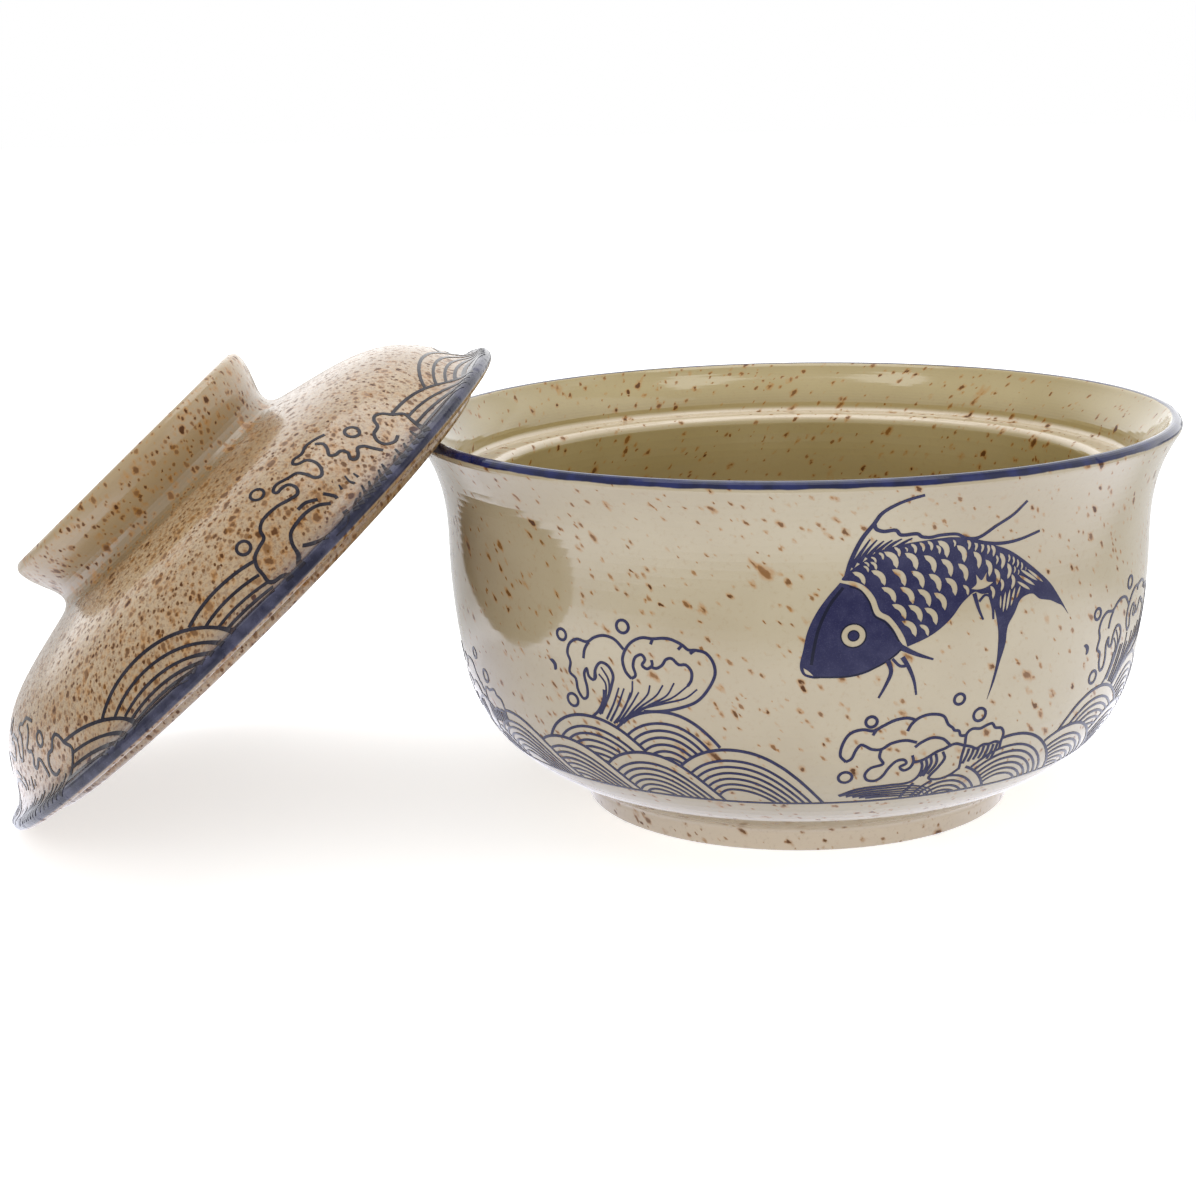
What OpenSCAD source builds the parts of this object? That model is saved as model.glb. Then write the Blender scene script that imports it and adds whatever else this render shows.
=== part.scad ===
// Donburi bowl with its lid, both thrown shapes turned about one axis.
// The bowl stands on its foot ring with the origin on its axis at the table.
// The lid is taken off: its edge stands on the table and its locating ring
// leans on the bowl's lip. Lengths are millimetres, +Z is up.

/* [Bowl] */
// Outer diameter across the lip
rim_d = 170; // [160:1:185]
// Height from the table to the top of the lip
bowl_h = 87; // [80:1:100]
// Outer diameter of the foot ring where it stands
foot_d = 97; // [88:1:104]
// Height of the foot ring up to the body
foot_h = 6.5; // [5:0.5:8]
// Width of the foot ring's standing face with its rounded edges
foot_w = 5; // [4:0.5:6.5]
// Depth of the recess inside the foot ring
recess_h = 4.5; // [3:0.5:5]
// Thickness of the wall
wall_t = 5; // [4:0.25:5.5]
// Thickness of the rounded lip
lip_t = 3.2; // [2.6:0.1:4]
// Thickness of the floor over the recess
floor_t = 6.5; // [5.5:0.5:8]

/* [Gallery] */
// Depth of the ledge below the top of the lip
ledge_depth = 11.5; // [10:0.5:14]
// Width of the ledge that carries the lid
ledge_w = 8; // [7:0.5:10]
// From the outside of the lip in to the gallery's wall
gallery_inset = 8.5; // [7.5:0.5:10]
// Radius of the ledge's rounded inner edge
nose_r = 2.2; // [1.5:0.1:2.8]
// Radius of the corner between the ledge and the gallery's wall
corner_r = 1.4; // [0.8:0.1:2]

/* [Lid] */
// Gap all round between the lid's edge and the gallery's wall
seat_gap = 1.1; // [0.8:0.1:2]
// Thickness of the lid's rounded edge
edge_t = 3.3; // [2.8:0.1:4]
// Height of the dome where the knob stands on it, from the seat
dome_h = 27.4; // [24:0.2:32]
// Thickness of the dome
dome_t = 4.5; // [3.8:0.1:5]
// Gap all round between the locating ring and the ledge's inner edge
ring_gap = 1.6; // [1:0.1:2.5]
// Width of the locating ring
ring_t = 3.4; // [3:0.2:4.6]
// How far the locating ring reaches below the seat
ring_drop = 2.4; // [2.2:0.2:4]

/* [Knob] */
// Outer diameter of the ring knob at its top
knob_d = 69; // [60:1:76]
// Height of the ring knob above the dome
knob_h = 14.5; // [11:0.5:17]
// Thickness of the ring knob's wall
knob_t = 4.6; // [4:0.2:5.5]
// How much narrower the ring knob is at its neck, on each side
knob_flare = 2; // [1:0.2:3]

/* [Leaning lid] */
// Tilt of the lid's axis from upright
lean_tilt = 42.4; // [38:0.2:48]
// Side of the bowl on which the lid leans, as an angle about the bowl's axis
lean_side = 186; // [150:1:210]
// Gap between the locating ring and the lip that it leans on
lean_gap = 0.3; // [0.2:0.05:0.5]

/* [Hidden] */
// Facets round a turned body, steps along a curve and steps round an edge
turn_fn = 128;
curve_steps = 14;
edge_steps = 10;
// Points round the lip, and halvings, when the leaning lid is placed
lip_steps = 180;
halvings = 24;

// Radii and heights that several outlines share
rim_r = rim_d / 2;
lip_r = lip_t / 2;
foot_r = foot_d / 2;
floor_z = recess_h + floor_t;
ledge_z = bowl_h - ledge_depth;
gallery_r = rim_r - gallery_inset;
ledge_r = gallery_r - ledge_w;
lid_r = gallery_r - seat_gap;
edge_r = edge_t / 2;
ring_r = ledge_r - ring_gap;
ring_end_r = ring_t / 2;
knob_r = knob_d / 2;
neck_r = knob_r - knob_flare;
knob_z = dome_h + knob_h;

// Rounding of the foot ring's standing edges, and its spread up to the body
foot_edge_share = 0.18;
foot_spread_share = 0.14;
foot_cove_share = 0.4;
// Start, belly and waist of the bowl's outside, as shares of radius and height
cove_share = 0.62;
belly_shares = [0.896, 0.39];
waist_shares = [0.925, 0.69];
// Heading of the bowl's outside at its cove, belly, waist and lip
cove_slope = 27;
belly_slope = 80;
waist_slope = 90;
lip_slope = 57;
// Reach of each curve's two handles, as shares of its chord
belly_reach_shares = [0.32, 0.46];
wall_reach_shares = [0.31, 0.35];
flare_reach_shares = [0.42, 0.34];
even_reach_shares = [0.35, 0.35];
// Rise of the floor to the belly, as a share of its thickness, and its curve
floor_rise_share = 0.6;
floor_reach_shares = [0.6, 0.13];
// Where the wall starts to thicken under the ledge, as a share of the ledge's height
swell_share = 0.66;
swell_steps_share = 0.5;
// Shoulder of the lid as shares of its radius and height, and its headings
shoulder_shares = [0.905, 0.3];
shoulder_slope = 63;
crown_slope = 14;
shoulder_reach_shares = [0.3, 0.4];
crown_reach_shares = [0.4, 0.41];
// Rise of the well's floor inside the ring knob, as a share of the dome's thickness
well_rise_share = 0.35;
// Fillets at the knob's neck and in its well, as shares of the knob's wall
neck_fillet_share = 0.55;
well_fillet_share = 0.45;
knob_edge_share = 0.44;

// Point at a reach and a heading from another point
function ahead(p, slope, reach) = p + reach * [cos(slope), sin(slope)];
// Smooth curve between two points that leaves and arrives at given headings
function curve(p, p_slope, q, q_slope, reach_shares) =
    let (chord = norm(q - p),
         a = ahead(p, p_slope, reach_shares[0] * chord),
         b = ahead(q, q_slope, -reach_shares[1] * chord))
    [for (i = [0:curve_steps])
        let (t = i / curve_steps, s = 1 - t)
        pow(s, 3) * p + 3 * s * s * t * a + 3 * s * t * t * b + pow(t, 3) * q];
// Arc about a centre from one angle to another
function arc(centre, radius, from, to) =
    [for (i = [0:edge_steps])
        ahead(centre, from + (to - from) * i / edge_steps, radius)];
// The same outline without its first point, to join on to what ends there
function tail(points) = [for (i = [1:len(points) - 1]) points[i]];
// The outline in the other direction
function back(points) = [for (i = [len(points) - 1:-1:0]) points[i]];
// Outline moved to its left by a distance, square to its own run
function inset(points, distance) =
    [for (i = [0:len(points) - 1])
        let (run = points[min(i + 1, len(points) - 1)] - points[max(i - 1, 0)])
        points[i] + distance * [-run[1], run[0]] / norm(run)];

// Outside of the bowl from the cove above its foot to its lip
foot_top_r = foot_r + foot_spread_share * foot_h;
foot_edge = foot_edge_share * foot_w;
cove_r = cove_share * rim_r;
cove_z = foot_h + foot_edge / 2;
cove_start = [max(cove_r, foot_top_r + foot_edge), cove_z];
belly = [belly_shares[0] * rim_r, belly_shares[1] * bowl_h];
waist = [waist_shares[0] * rim_r, waist_shares[1] * bowl_h];
lip_centre = [rim_r - lip_r, bowl_h - lip_r];
lip_turn = lip_slope - 90;
lip_outside = ahead(lip_centre, lip_turn, lip_r);
cove_curve = curve([foot_top_r, foot_h * (1 - foot_cove_share)], 90,
                   cove_start, cove_slope, even_reach_shares);
belly_curve = curve(cove_start, cove_slope, belly, belly_slope, belly_reach_shares);
wall_curve = curve(belly, belly_slope, waist, waist_slope, wall_reach_shares);
flare_curve = curve(waist, waist_slope, lip_outside, lip_slope, flare_reach_shares);

// Inside of the bowl, from the lip down to its floor
gallery_corner = [gallery_r - corner_r, ledge_z + corner_r];
gallery_wall = curve([gallery_r, ledge_z + corner_r], waist_slope,
                     ahead(lip_centre, lip_turn + 180, lip_r), lip_slope,
                     even_reach_shares);
nose_centre = [ledge_r + nose_r, ledge_z - nose_r];
inner_belly = inset(belly_curve, wall_t);
inner_wall = [for (p = inset(tail(wall_curve), wall_t))
                 if (p[1] < swell_share * ledge_z) p];
swell = curve(inner_wall[len(inner_wall) - 1], waist_slope,
              [ledge_r, nose_centre[1]], waist_slope,
              [swell_steps_share, swell_steps_share]);
inner_low = [for (p = inner_belly) if (p[1] > floor_z + floor_rise_share * floor_t) p];
floor_slope = atan2(inner_low[1][1] - inner_low[0][1], inner_low[1][0] - inner_low[0][0]);
floor_curve = curve([0, floor_z], 0, inner_low[0], floor_slope, floor_reach_shares);

// Turned outline of the bowl, foot ring first and round to the floor's middle
bowl_outline = concat(
    [[0, recess_h], [foot_r - foot_w - foot_edge, recess_h]],
    arc([foot_r - foot_w + foot_edge, foot_edge], foot_edge, 180, 270),
    arc([foot_r - foot_edge, foot_edge], foot_edge, 270, 360),
    cove_curve, tail(belly_curve), tail(wall_curve), tail(flare_curve),
    tail(arc(lip_centre, lip_r, lip_turn, lip_turn + 180)),
    tail(back(gallery_wall)),
    tail(arc(gallery_corner, corner_r, 0, -90)),
    arc(nose_centre, nose_r, 90, 180),
    tail(back(swell)), tail(back(inner_wall)), back(inner_low),
    tail(back(floor_curve)));

// Upper side of the lid from its edge to the knob's neck, heading inwards
edge_centre = [lid_r - edge_r, edge_r];
shoulder = [shoulder_shares[0] * lid_r, shoulder_shares[1] * dome_h];
neck_fillet = neck_fillet_share * knob_t;
neck_start = [neck_r + neck_fillet, dome_h - neck_fillet * sin(crown_slope)];
edge_curve = curve(edge_centre + [0, edge_r], 180, shoulder, 180 - shoulder_slope,
                   shoulder_reach_shares);
crown_curve = curve(shoulder, 180 - shoulder_slope, neck_start, 180 - crown_slope,
                    crown_reach_shares);
knob_edge = knob_edge_share * knob_t;
knob_top = [knob_r - knob_edge, knob_z - knob_edge];
neck_curve = curve(neck_start, 180 - crown_slope, knob_top + [knob_edge, 0], 90,
                   [neck_fillet_share, well_fillet_share]);
well_z = dome_h + well_rise_share * dome_t;
well_fillet = well_fillet_share * knob_t;
well_r = neck_r - knob_t;

// Under side of the lid, from the dome's middle out to the locating ring
under_crown = [for (p = inset(crown_curve, dome_t)) if (p[0] < ring_r - ring_t) p];
ceiling = curve([0, well_z - dome_t], 0, under_crown[len(under_crown) - 1],
                -crown_slope, even_reach_shares);
ring_centre = [ring_r - ring_end_r, ring_end_r - ring_drop];
hollow_curve = curve(under_crown[0], -shoulder_slope,
                     ring_centre - [ring_end_r, 0], -90, even_reach_shares);

// Turned outline of the lid, ceiling first and round by the ring and the knob
lid_outline = concat(
    ceiling, tail(back(under_crown)), tail(hollow_curve),
    tail(arc(ring_centre, ring_end_r, 180, 360)),
    [[ring_r, 0]],
    arc(edge_centre, edge_r, 270, 450),
    tail(edge_curve), tail(crown_curve), tail(neck_curve),
    tail(arc(knob_top, knob_edge, 0, 90)),
    arc([knob_r - knob_t + knob_edge, knob_top[1]], knob_edge, 90, 180),
    back(arc([well_r - well_fillet, well_z + well_fillet], well_fillet, -90, 0)),
    [[0, well_z]]);

// Placing of the leaning lid: its edge stands on the table, and the lip clears
// its ring, edge, dome and hollow by lean_gap. The ring, edge and dome count as
// tubes about their middle lines. Points of the lip are taken in the lid's own
// frame, as a distance from its axis and a height over its seat.
lid_z = (lid_r - edge_r) * sin(lean_tilt) + edge_r - edge_r * cos(lean_tilt);
function to_segment(p, a, b) =
    let (t = (p - a) * (b - a) / ((b - a) * (b - a)))
    norm(p - a - min(1, max(0, t)) * (b - a));
function lip_in_lid(reach, turn) =
    let (p = [lip_centre[0] * cos(turn) - reach, lip_centre[0] * sin(turn),
              lip_centre[1] - lid_z],
         along = p[2] * sin(lean_tilt) - p[0] * cos(lean_tilt))
    [norm([along, p[1]]), p[0] * sin(lean_tilt) + p[2] * cos(lean_tilt)];
function to_line(p, points) =
    min([for (i = [1:len(points) - 1]) to_segment(p, points[i - 1], points[i])]);
wall_middle = inset(crown_curve, dome_t / 2);
function clearance(q) =
    min(to_segment(q, ring_centre, [ring_centre[0], edge_r]) - ring_end_r,
        to_segment(q, [ring_centre[0], edge_r], edge_centre) - edge_r,
        to_line(q, wall_middle) - dome_t / 2,
        to_line(q, hollow_curve)) - lip_r;
function lean_clearance(reach) =
    min([for (i = [0:lip_steps]) clearance(lip_in_lid(reach, 90 * i / lip_steps))]);
function lean_reach(near, far, n) =
    let (mid = (near + far) / 2)
    n == 0 ? far :
    lean_clearance(mid) < lean_gap ? lean_reach(mid, far, n - 1)
                                   : lean_reach(near, mid, n - 1);
lid_reach = lean_reach(rim_r, rim_r + lid_r, halvings);

// Bowl: foot ring, belly, flared lip and the gallery that takes the lid
module bowl() {
    color("antiquewhite")
        rotate_extrude($fn = turn_fn)
            polygon(bowl_outline);
}

// Lid in its own frame: the seat is at zero and the knob points up
module lid_shape() {
    rotate_extrude($fn = turn_fn)
        polygon(lid_outline);
}

// Lid: leaning beside the bowl, edge on the table and ring against the lip
module lid() {
    color("tan")
        rotate([0, 0, lean_side])
            translate([lid_reach, 0, lid_z])
                rotate([0, lean_tilt, 0])
                    lid_shape();
}

bowl();
lid();
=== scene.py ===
# %% [markdown]
# A donburi is a deep bowl for rice with a topping, and it has its own lid. This one stands on its
# foot ring, and the lid has been taken off and leaned on it. The turned shapes come from the
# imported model. What is added here is everything that the kiln and the brush gave: clear glaze
# over sandy clay, rusty specks, a blue line round each edge, and a print of waves and a carp.

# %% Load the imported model
import math

import bpy
import numpy as np
from mathutils import Matrix, Vector
from mathutils.bvhtree import BVHTree


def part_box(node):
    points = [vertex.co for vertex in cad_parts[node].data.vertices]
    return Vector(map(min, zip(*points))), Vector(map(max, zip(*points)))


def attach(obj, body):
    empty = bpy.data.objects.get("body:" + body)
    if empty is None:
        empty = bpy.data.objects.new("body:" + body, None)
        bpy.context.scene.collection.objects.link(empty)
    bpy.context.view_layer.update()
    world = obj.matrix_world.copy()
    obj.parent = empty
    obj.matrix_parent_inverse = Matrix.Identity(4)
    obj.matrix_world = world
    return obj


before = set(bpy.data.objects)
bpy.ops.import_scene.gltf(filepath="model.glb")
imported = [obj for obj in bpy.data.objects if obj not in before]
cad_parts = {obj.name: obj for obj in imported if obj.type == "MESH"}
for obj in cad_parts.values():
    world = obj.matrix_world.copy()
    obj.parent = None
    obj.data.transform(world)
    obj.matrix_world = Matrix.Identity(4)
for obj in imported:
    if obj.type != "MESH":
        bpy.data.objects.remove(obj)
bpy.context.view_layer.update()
MM = 0.001
bowl_low, bowl_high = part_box("bowl")
lid_low, lid_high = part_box("lid")
for name, low, high in (("bowl", bowl_low, bowl_high), ("lid", lid_low, lid_high)):
    print(name, "measures", [round((b - a) / MM, 1) for a, b in zip(low, high)], "mm")

# %% [markdown]
# The picture is taken from a little above the table. The camera's place and turn were found by
# laying the round edges of the bowl over the photograph's ellipses, so the view is written as a
# place and three angles, and the lens follows from the focal length in pixels of that frame.

# %% Camera
FRAME_PIXELS = 1196
FOCAL_PIXELS = 2300
SENSOR = 36
camera_place = Vector((0, -515.0, 168.05)) * MM
camera_turn, camera_dip, camera_roll = -0.0879, 0.23497, -0.02653


def camera_matrix(place, turn, dip, roll):
    """Where the camera stands, how far it turns right, looks down and leans."""
    forward = Vector((math.sin(turn) * math.cos(dip), math.cos(turn) * math.cos(dip), -math.sin(dip)))
    right = Vector((math.cos(turn), -math.sin(turn), 0))
    up = right.cross(forward)
    right, up = (right * math.cos(roll) + up * math.sin(roll),
                 up * math.cos(roll) - right * math.sin(roll))
    matrix = Matrix((right, up, -forward)).transposed().to_4x4()
    matrix.translation = place
    return matrix


camera = bpy.data.objects.new("camera", bpy.data.cameras.new("camera"))
camera.data.sensor_width = SENSOR
camera.data.lens = FOCAL_PIXELS / FRAME_PIXELS * SENSOR
camera.matrix_world = camera_matrix(camera_place, camera_turn, camera_dip, camera_roll)
bpy.context.scene.collection.objects.link(camera)
bpy.context.scene.camera = camera
print("lens", round(camera.data.lens, 1), "mm")

# %% [markdown]
# Materials, the floor among them, are built from a few small node helpers. A helper takes plain
# values or outputs of other nodes alike.

# %% Shader helpers
def link(tree, start, end):
    """Joins an output to an input; a plain value is set on the input instead."""
    if hasattr(start, "is_output"):
        tree.links.new(start, end)
    else:
        end.default_value = start


def math_node(tree, operation, a, b=0.0, clamp=False):
    """One sum of two values."""
    node = tree.nodes.new("ShaderNodeMath")
    node.operation = operation
    node.use_clamp = clamp
    link(tree, a, node.inputs[0])
    link(tree, b, node.inputs[1])
    return node.outputs[0]


def plus(tree, a, b):
    """Both values added up."""
    return math_node(tree, "ADD", a, b)


def times(tree, a, b):
    """One value times the other."""
    return math_node(tree, "MULTIPLY", a, b)


def ramp(tree, value, start, end):
    """Smooth step from 0 where the value is start to 1 where it is end."""
    node = tree.nodes.new("ShaderNodeMapRange")
    node.interpolation_type = "SMOOTHSTEP"
    link(tree, value, node.inputs["Value"])
    link(tree, start, node.inputs["From Min"])
    link(tree, end, node.inputs["From Max"])
    return node.outputs["Result"]


def blend(tree, share, a, b):
    """Mixes two colours."""
    node = tree.nodes.new("ShaderNodeMix")
    node.data_type = "RGBA"
    for value, socket in ((share, 0), (a, 6), (b, 7)):
        link(tree, value, node.inputs[socket])
    return node.outputs[2]


def noise(tree, vector, scale, detail=2.0, rough=0.5):
    """Soft noise, as a value and as a colour."""
    node = tree.nodes.new("ShaderNodeTexNoise")
    link(tree, vector, node.inputs["Vector"])
    link(tree, scale, node.inputs["Scale"])
    link(tree, detail, node.inputs["Detail"])
    link(tree, rough, node.inputs["Roughness"])
    return node.outputs["Fac"], node.outputs["Color"]


def clouds(tree, vector, scale, detail=3.0):
    """Soft clouds, from 0 to 1."""
    return ramp(tree, noise(tree, vector, scale, detail)[0], 0.35, 0.7)


def new_group(name, inputs, outputs):
    """An empty shader group with named sockets; inputs are (name, kind, value)."""
    group = bpy.data.node_groups.new(name, "ShaderNodeTree")
    for title, kind, value in inputs:
        socket = group.interface.new_socket(title, in_out="INPUT", socket_type="NodeSocket" + kind)
        if value is not None:
            socket.default_value = value
    for title, kind in outputs:
        group.interface.new_socket(title, in_out="OUTPUT", socket_type="NodeSocket" + kind)
    return group, group.nodes.new("NodeGroupInput"), group.nodes.new("NodeGroupOutput")


def place_group(tree, group, **values):
    """Puts a group into a material, with its inputs set by their names."""
    node = tree.nodes.new("ShaderNodeGroup")
    node.node_tree = group
    for title, value in values.items():
        link(tree, value, node.inputs[title.replace("_", " ")])
    return node


# %% [markdown]
# Glossy ware is lit by what it mirrors. Here that is a bright table: the sheen that lies over the
# front of the bowl is the table's mirror image. It is strongest in front of the bowl and dimmer
# close to the foot, in the ware's own shade. The lid stands between the table and a patch of the
# wall, so that patch shows the glaze without the sheen. Only mirrored rays meet the sheen and
# the bright backdrop. For the camera the table is pale, with the object's shadow on it, and
# white farther off. Four soft panels give the light.

# %% Stage and light
bpy.context.scene.view_settings.view_transform = "Standard"
ROOM_LIGHT = 0.62
LEFT_RADIANCE = 0.1
RIGHT_RADIANCE = 0.5
TOP_RADIANCE = 2.0
FRONT_RADIANCE = 1.35
FLOOR_SHADE = 0.85
NEAR_GLOW = 0.62
MIRRORED_ROOM = 0.85
BACKDROP = 0.9
BACKDROP_FROM, BACKDROP_FULL = 0.3, 0.8
SHEEN = 1.4
SHEEN_COLOUR = (0.87, 0.9, 1.04, 1)
SHEEN_MIDDLE = (0, -0.06, 0)
SHEEN_FULL = 0.45
SHEEN_REACH = (0.42, 0.2, 1)
SHADED_SHEEN = 0.75
SHADE_FROM, SHADE_END = 0.05, 0.085
WHITE_FROM, WHITE_FULL = 0.25, 0.8
TABLE_SIZE = 8


def white_room(strength):
    """A world that lights softly and looks plain white; mirrored, it is grey with a bright backdrop."""
    world = bpy.data.worlds.new("white_room")
    world.use_nodes = True
    tree = world.node_tree
    background = tree.nodes["Background"]
    background.inputs["Color"].default_value = (1, 1, 1, 1)
    path = tree.nodes.new("ShaderNodeLightPath").outputs
    seen = times(tree, path["Is Camera Ray"], 1 - strength)
    heading = tree.nodes.new("ShaderNodeSeparateXYZ")
    link(tree, tree.nodes.new("ShaderNodeTexCoord").outputs["Generated"], heading.inputs[0])
    behind = times(tree, ramp(tree, heading.outputs[1], BACKDROP_FROM, BACKDROP_FULL), BACKDROP)
    mirrored = times(tree, path["Is Glossy Ray"], plus(tree, behind, MIRRORED_ROOM - strength))
    level = plus(tree, strength, plus(tree, seen, mirrored))
    link(tree, level, background.inputs["Strength"])
    bpy.context.scene.world = world


def soft_panel(name, place, target, width, height, radiance, mirrored=True):
    """A flat lamp, aimed at a point; its power follows from its radiance."""
    lamp = bpy.data.lights.new(name, "AREA")
    lamp.shape = "RECTANGLE"
    lamp.size, lamp.size_y = width, height
    lamp.energy = radiance * math.pi * width * height
    panel = bpy.data.objects.new(name, lamp)
    panel.location = place
    panel.rotation_euler = (Vector(target) - Vector(place)).to_track_quat("-Z", "Y").to_euler()
    panel.visible_camera = False
    panel.visible_glossy = mirrored
    bpy.context.scene.collection.objects.link(panel)
    print(name, round(lamp.energy, 1), "watts")


def apart(tree, vector, middle, reach):
    """Distance from a middle point, counted in reaches."""
    for operation, value in (("SUBTRACT", middle), ("DIVIDE", reach), ("LENGTH", None)):
        node = tree.nodes.new("ShaderNodeVectorMath")
        node.operation = operation
        link(tree, vector, node.inputs[0])
        if value:
            node.inputs[1].default_value = value
        vector = node.outputs[0]
    return node.outputs["Value"]


def pale_floor(size):
    """The table: it keeps the shadow near the object and is white far off; mirrored, it has a sheen."""
    bpy.ops.mesh.primitive_plane_add(size=size)
    floor = bpy.context.object
    floor.name = "floor"
    material = bpy.data.materials.new("pale_floor")
    material.use_nodes = True
    tree = material.node_tree
    shader = tree.nodes["Principled BSDF"]
    shader.inputs["Base Color"].default_value = (FLOOR_SHADE, FLOOR_SHADE, FLOOR_SHADE, 1)
    shader.inputs["Roughness"].default_value = 1
    shader.inputs["Specular IOR Level"].default_value = 0
    path = tree.nodes.new("ShaderNodeLightPath").outputs
    glow = blend(tree, path["Is Glossy Ray"], (1, 1, 1, 1), SHEEN_COLOUR)
    link(tree, glow, shader.inputs["Emission Color"])
    vector = tree.nodes.new("ShaderNodeTexCoord").outputs["Object"]
    distance = apart(tree, vector, (0, 0, 0), (1, 1, 1))
    far = ramp(tree, distance, WHITE_FROM, WHITE_FULL)
    seen = plus(tree, NEAR_GLOW, times(tree, far, 1 - NEAR_GLOW))
    sheen = ramp(tree, apart(tree, vector, SHEEN_MIDDLE, SHEEN_REACH), 1.0, SHEEN_FULL)
    open_table = times(tree, ramp(tree, distance, SHADE_FROM, SHADE_END), 1 - SHADED_SHEEN)
    open_table = plus(tree, open_table, SHADED_SHEEN)
    sheen = times(tree, sheen, times(tree, open_table, SHEEN))
    level = plus(tree, times(tree, path["Is Camera Ray"], seen), times(tree, path["Is Glossy Ray"], sheen))
    link(tree, level, shader.inputs["Emission Strength"])
    floor.data.materials.append(material)


white_room(ROOM_LIGHT)
ware_middle = (bowl_low + bowl_high) / 2
soft_panel("left_panel", (-0.85, -0.05, 0.5), (0, -0.05, 0.3), 1.6, 1.0, LEFT_RADIANCE, mirrored=False)
soft_panel("right_panel", (0.85, -0.05, 0.5), (0, -0.05, 0.3), 1.6, 1.0, RIGHT_RADIANCE)
soft_panel("top_panel", (0, 0.15, 1.0), ware_middle, 0.9, 0.7, TOP_RADIANCE)
soft_panel("front_panel", (-0.38, -1.15, 0.5), ware_middle, 1.2, 0.9, FRONT_RADIANCE, mirrored=False)
pale_floor(TABLE_SIZE)

# %% [markdown]
# The clay holds iron, which boils up through the glaze as rusty specks: a dark grain with an
# orange halo. A Voronoi texture gives one speck to a cell. Each cell's random colour says
# whether the speck is there, how large it is and how dark. The same group is placed three
# times on each ground, for fine, middling and large grains.

# %% Iron specks
RUST = (0.42, 0.185, 0.03, 1)
IRON = (0.075, 0.026, 0.006, 1)
WANDER_SCALE, WANDER = 2.2, 0.55
GRAIN_CORE = 0.6
HALO_OUTER, HALO_INNER = 1.7, 0.4
SIZE_SPREAD, LEAST_SIZE = 0.7, 0.35


def make_iron_specks():
    """Specks with a dark grain and an orange halo, one to a cell of the given size."""
    group, start, end = new_group(
        "iron_specks",
        [("Vector", "Vector", None), ("Ground", "Color", (0.5, 0.4, 0.25, 1)), ("Cell", "Float", 0.006),
         ("Share", "Float", 0.5), ("Radius", "Float", 0.2), ("Halo", "Float", 0.6),
         ("Darkness", "Float", 0.8)],
        [("Color", "Color"), ("Mask", "Float")])
    i = start.outputs
    scale = math_node(group, "DIVIDE", 1.0, i["Cell"])
    wander = noise(group, i["Vector"], times(group, scale, WANDER_SCALE), 3.0)[1]
    shift = group.nodes.new("ShaderNodeVectorMath")
    shift.operation = "MULTIPLY_ADD"
    shift.inputs[1].default_value = (WANDER, WANDER, WANDER)
    scaled = group.nodes.new("ShaderNodeVectorMath")
    scaled.operation = "SCALE"
    link(group, i["Vector"], scaled.inputs[0])
    link(group, scale, scaled.inputs["Scale"])
    link(group, wander, shift.inputs[0])
    link(group, scaled.outputs[0], shift.inputs[2])
    cells = group.nodes.new("ShaderNodeTexVoronoi")
    cells.inputs["Scale"].default_value = 1
    link(group, shift.outputs[0], cells.inputs["Vector"])
    chance = group.nodes.new("ShaderNodeSeparateColor")
    link(group, cells.outputs["Color"], chance.inputs[0])
    here = math_node(group, "LESS_THAN", chance.outputs[0], i["Share"])
    grade = math_node(group, "SUBTRACT", 1.0, math_node(group, "DIVIDE", chance.outputs[0], i["Share"]))
    distance = cells.outputs["Distance"]
    size_share = plus(group, times(group, grade, SIZE_SPREAD), LEAST_SIZE)
    reach = times(group, i["Radius"], size_share)
    grain = ramp(group, distance, reach, times(group, reach, GRAIN_CORE))
    halo = ramp(group, distance, times(group, reach, HALO_OUTER), times(group, reach, HALO_INNER))
    grain = times(group, grain, here)
    halo = times(group, times(group, halo, here), i["Halo"])
    depth = times(group, i["Darkness"], plus(group, times(group, chance.outputs[1], 0.5), 0.5))
    grain = math_node(group, "MULTIPLY", grain, depth, clamp=True)
    stained = blend(group, halo, i["Ground"], RUST)
    link(group, blend(group, grain, stained, IRON), end.inputs["Color"])
    link(group, math_node(group, "MAXIMUM", grain, times(group, halo, 0.7)), end.inputs["Mask"])
    return group


iron_specks = make_iron_specks()
print("iron_specks has", len(iron_specks.nodes), "nodes")

# %% [markdown]
# The glaze is the same clear one on both pieces, over a clay that shows warm through it. What
# differs is the ground's colour and how dense the specks lie, so one function makes each glaze
# and takes the layers of specks as a list. While the ware turned on the wheel the specks were
# drawn out into short slanted streaks: the pattern's space is twisted about the axis and
# pressed along it, which lays every streak along one steep helix and has no seam.

# %% Places on a turned piece
def axis_place(tree, vector):
    """Distance from the axis and height, in millimetres, of a point in the piece's own frame."""
    parts = tree.nodes.new("ShaderNodeSeparateXYZ")
    link(tree, vector, parts.inputs[0])
    x, y, z = (math_node(tree, "DIVIDE", parts.outputs[i], MM) for i in range(3))
    squares = plus(tree, times(tree, x, x), times(tree, y, y))
    return math_node(tree, "SQRT", squares), z


def twisted(tree, vector, turn_per_metre, press):
    """The point turned about the axis by its height and pressed along the axis."""
    parts = tree.nodes.new("ShaderNodeSeparateXYZ")
    link(tree, vector, parts.inputs[0])
    spin = tree.nodes.new("ShaderNodeVectorRotate")
    spin.rotation_type = "Z_AXIS"
    link(tree, vector, spin.inputs["Vector"])
    link(tree, times(tree, parts.outputs[2], turn_per_metre), spin.inputs["Angle"])
    pressed = tree.nodes.new("ShaderNodeVectorMath")
    pressed.operation = "MULTIPLY"
    link(tree, spin.outputs[0], pressed.inputs[0])
    pressed.inputs[1].default_value = (1, 1, press)
    return pressed.outputs[0]


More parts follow.
